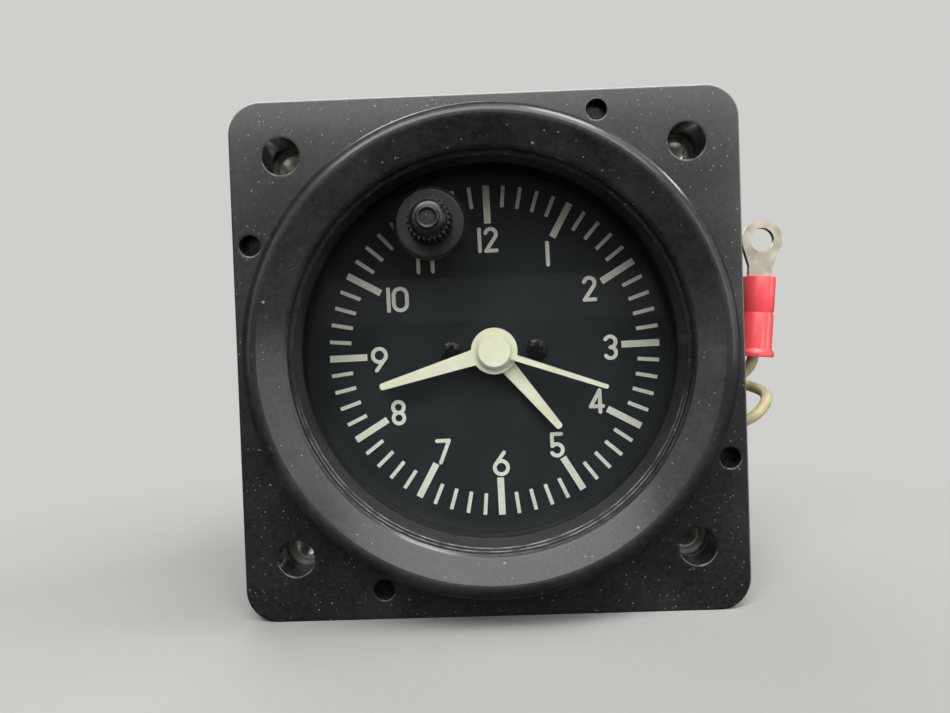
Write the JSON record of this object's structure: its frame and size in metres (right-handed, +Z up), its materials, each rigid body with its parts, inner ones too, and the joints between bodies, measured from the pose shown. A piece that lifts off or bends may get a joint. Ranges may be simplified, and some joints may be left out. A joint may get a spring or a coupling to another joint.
{
  "type": "aircraft clock",
  "caption": "Square-flanged panel clock with a raised round bezel, three cream hands, a fluted setting knob through the lens, a round rear case and wire leads with ring terminals.",
  "frame": {"origin": "middle of the four mounting holes in the flange's front face", "axes": "+Z up, the dial faces -Y, +X to the reader's right"},
  "size_m": [0.0688, 0.0689, 0.0621],
  "materials": {
    "anodised_black": "black anodised, satin",
    "lens_glass": "clear, polished",
    "black_rubber": "matt",
    "dial_paint": "matt bluish black",
    "dial_print": "matt off-white print",
    "hand_paint": "cream paint",
    "black_plastic": "moulded, satin",
    "black_steel": "blackened",
    "bright_steel": "turned, bright",
    "nickel_brass": "nickel plated",
    "wheel_brass": "cut and polished",
    "soft_iron": "stamped",
    "coil_wire": "enamelled copper",
    "board": "lacquered laminate",
    "white_nylon": "moulded",
    "component_can": "drawn can",
    "wire_insulation": "extruded, cream",
    "tinned_copper": "tinned",
    "red_vinyl": "translucent red"
  },
  "bodies": {
    "case": {"bezel": "anodised_black", "case_body": "anodised_black", "rear_cap": "anodised_black", "knob_bushing": "anodised_black", "spacer_ring": "anodised_black", "lens": "lens_glass", "lens_gasket": "black_rubber", "bushing_seal": "black_rubber", "grommet": "black_rubber", "dial": "dial_paint", "dial_marks": "dial_print", "dial_numerals": "dial_print", "chip": "black_plastic", "regulator": "black_plastic", "dial_screws": "black_steel", "case_screws": "black_steel", "cap_screws": "bright_steel", "plate_screws": "bright_steel", "guide_pin": "bright_steel", "wheel_studs": "bright_steel", "mount_nuts": "nickel_brass", "bushing_nut": "wheel_brass", "setting_bush": "wheel_brass", "front_plate": "wheel_brass", "back_plate": "wheel_brass", "plate_pillars": "wheel_brass", "dial_pillars": "wheel_brass", "stator": "soft_iron", "coil": "coil_wire", "circuit_board": "board", "board_spacers": "white_nylon", "crystal": "component_can", "capacitor": "component_can", "lead_tails": "wire_insulation", "power_lead": "wire_insulation", "ground_lead": "wire_insulation", "ring_terminals": "tinned_copper", "terminal_sleeves": "red_vinyl"},
    "setting_slide": {"detent_slide": "bright_steel"},
    "setting_knob": {"knob": "black_plastic", "setting_stem": "bright_steel", "clutch_disc": "wheel_brass", "clutch_ring": "black_rubber"},
    "setting_gear": {"setting_wheel": "wheel_brass"},
    "idler_gear": {"idler_wheel": "wheel_brass"},
    "minute_gear": {"minute_wheel": "wheel_brass"},
    "hour_train": {"hour_wheel": "wheel_brass", "hour_hand": "hand_paint"},
    "minute_train": {"minute_pipe": "wheel_brass", "centre_wheel": "wheel_brass", "minute_hand": "hand_paint"},
    "second_train": {"seconds_arbor": "bright_steel", "seconds_wheel": "wheel_brass", "second_hand": "hand_paint"},
    "third_gear": {"third_wheel": "wheel_brass"},
    "step_gear": {"step_wheel": "wheel_brass"},
    "motor_rotor": {"rotor": "bright_steel", "rotor_magnet": "soft_iron"}
  },
  "joints": [
    {"name": "knob_pull", "type": "slide", "parent": "case", "child": "setting_slide", "axis": [0, -1, 0], "range_m": [0, 0.0015]},
    {"name": "knob_turn", "type": "hinge", "parent": "setting_slide", "child": "setting_knob", "pos_m": [-0.0064, 0, 0.01515], "axis": [0, 1, 0], "continuous": true},
    {"name": "second_hand_turn", "type": "hinge", "parent": "case", "child": "second_train", "pos_m": [0.00058, 0, 0], "axis": [0, 1, 0], "continuous": true},
    {"name": "third_wheel_turn", "type": "hinge", "parent": "case", "child": "third_gear", "pos_m": [-0.00289, 0, -0.00414], "axis": [0, 1, 0], "continuous": true},
    {"name": "minute_hand_turn", "type": "hinge", "parent": "case", "child": "minute_train", "pos_m": [0.00058, 0, 0], "axis": [0, 1, 0], "continuous": true},
    {"name": "minute_wheel_turn", "type": "hinge", "parent": "case", "child": "minute_gear", "pos_m": [-0.00132, 0, 0.00413], "axis": [0, 1, 0], "continuous": true},
    {"name": "hour_hand_turn", "type": "hinge", "parent": "case", "child": "hour_train", "pos_m": [0.00058, 0, 0], "axis": [0, 1, 0], "continuous": true},
    {"name": "idler_turn", "type": "hinge", "parent": "case", "child": "idler_gear", "pos_m": [-0.00402, 0, 0.00999], "axis": [0, 1, 0], "continuous": true},
    {"name": "setting_wheel_turn", "type": "hinge", "parent": "case", "child": "setting_gear", "pos_m": [-0.0064, 0, 0.01515], "axis": [0, 1, 0], "continuous": true},
    {"name": "step_wheel_turn", "type": "hinge", "parent": "case", "child": "step_gear", "pos_m": [0.00411, 0, -0.00204], "axis": [0, 1, 0], "continuous": true},
    {"name": "rotor_turn", "type": "hinge", "parent": "case", "child": "motor_rotor", "pos_m": [0.00619, 0, -0.00324], "axis": [0, 1, 0], "continuous": true}
  ],
  "couplings": [
    {"joint": "third_wheel_turn", "follows": "second_hand_turn", "ratio": -0.13333},
    {"joint": "minute_hand_turn", "follows": "second_hand_turn", "ratio": 0.016667},
    {"joint": "minute_wheel_turn", "follows": "second_hand_turn", "ratio": -0.0055556},
    {"joint": "hour_hand_turn", "follows": "second_hand_turn", "ratio": 0.0013889},
    {"joint": "idler_turn", "follows": "second_hand_turn", "ratio": 0.00625},
    {"joint": "setting_wheel_turn", "follows": "second_hand_turn", "ratio": -0.0071429},
    {"joint": "step_wheel_turn", "follows": "second_hand_turn", "ratio": -7.5},
    {"joint": "rotor_turn", "follows": "second_hand_turn", "ratio": 30}
  ]
}
